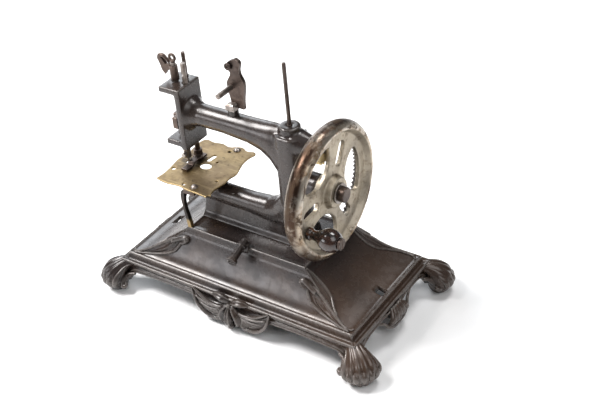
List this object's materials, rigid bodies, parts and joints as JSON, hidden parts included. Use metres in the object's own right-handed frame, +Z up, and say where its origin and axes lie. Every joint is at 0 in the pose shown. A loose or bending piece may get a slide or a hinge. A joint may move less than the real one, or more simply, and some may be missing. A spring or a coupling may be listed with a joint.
{
  "type": "toy hand-crank sewing machine",
  "caption": "Small cast-iron chain-stitch sewing machine turned by a geared handwheel, on a scrolled base with clawed feet.",
  "frame": {"origin": "under the middle of the base, on the plane of its feet", "axes": "+X from the needle head along the arm to the handwheel, -Y towards the operator, +Z up"},
  "size_m": [0.215, 0.121, 0.174],
  "materials": {
    "iron_base": "satin black-brown patina",
    "iron_frame": "satin black-brown patina",
    "nickel": "worn, pitted nickel plate over iron",
    "steel": "aged steel",
    "dark_steel": "browned steel",
    "brass": "aged brass",
    "brass_plate": "aged, scratched brass sheet",
    "horn": "dark polished turned wood"
  },
  "bodies": {
    "frame": {"base_plate": "iron_base", "frame_bolts": "steel", "front_screw": "dark_steel", "machine_frame": "iron_frame", "head_bush": "brass", "wheel_bush": "brass", "spool_pin": "dark_steel", "cloth_plate": "brass_plate", "cloth_plate_screws": "steel", "plate_bracket": "dark_steel", "plate_leg": "brass", "tension_post": "iron_frame", "tension_block": "steel", "tension_leaf": "dark_steel", "tension_stud": "steel", "thread_eye": "dark_steel", "guide_post": "steel", "wheel_stud": "steel", "hub_washer": "steel", "hub_bolt": "dark_steel", "presser_spring": "steel"},
    "handwheel": {"handwheel": "nickel", "ring_gear": "iron_frame", "knob_screw": "steel"},
    "crank_knob": {"crank_knob": "horn"},
    "main_shaft": {"main_shaft": "steel", "pinion": "brass", "pinion_pin": "steel", "needle_crank": "dark_steel", "needle_crank_pin": "steel", "looper_cam": "dark_steel", "looper_cam_pin": "steel"},
    "needle_bar": {"needle_bar": "steel", "needle": "steel", "needle_screw": "steel", "needle_yoke": "dark_steel", "needle_collar": "dark_steel", "take_up_hook": "dark_steel", "thread_flag": "dark_steel"},
    "presser_bar": {"presser_bar": "dark_steel", "presser_collar": "steel", "presser_foot": "steel"},
    "looper": {"looper_shaft": "steel", "looper": "steel", "looper_lever": "dark_steel"},
    "looper_rod": {"looper_rod": "dark_steel"}
  },
  "joints": [
    {"name": "handwheel_spin", "type": "hinge", "parent": "frame", "child": "handwheel", "pos_m": [0.0501, 0, 0.0932], "axis": [1, 0, 0], "continuous": true},
    {"name": "knob_spin", "type": "hinge", "parent": "handwheel", "child": "crank_knob", "pos_m": [0.06, -0.02866, 0.08062], "axis": [1, 0, 0], "continuous": true},
    {"name": "shaft_spin", "type": "hinge", "parent": "frame", "child": "main_shaft", "pos_m": [0, 0, 0.12155], "axis": [1, 0, 0], "continuous": true},
    {"name": "needle_bar_slide", "type": "slide", "parent": "frame", "child": "needle_bar", "axis": [0, 0, 1], "range_m": [0, 0.0096]},
    {"name": "presser_bar_slide", "type": "slide", "parent": "frame", "child": "presser_bar", "axis": [0, 0, 1], "range_m": [0, 0.0045], "stiffness_N_per_m": 250, "deforming": ["presser_spring"]},
    {"name": "looper_rock", "type": "hinge", "parent": "frame", "child": "looper", "pos_m": [0, 0, 0.065], "axis": [1, 0, 0], "range_deg": [-21, 21]},
    {"name": "looper_rod_pivot", "type": "hinge", "parent": "looper", "child": "looper_rod", "pos_m": [0.02735, 0.0075, 0.065], "axis": [1, 0, 0], "range_deg": [-21, 21]}
  ],
  "couplings": [
    {"joint": "shaft_spin", "follows": "handwheel_spin", "ratio": 4.3158},
    {"joint": "looper_rod_pivot", "follows": "looper_rock", "ratio": -1}
  ]
}
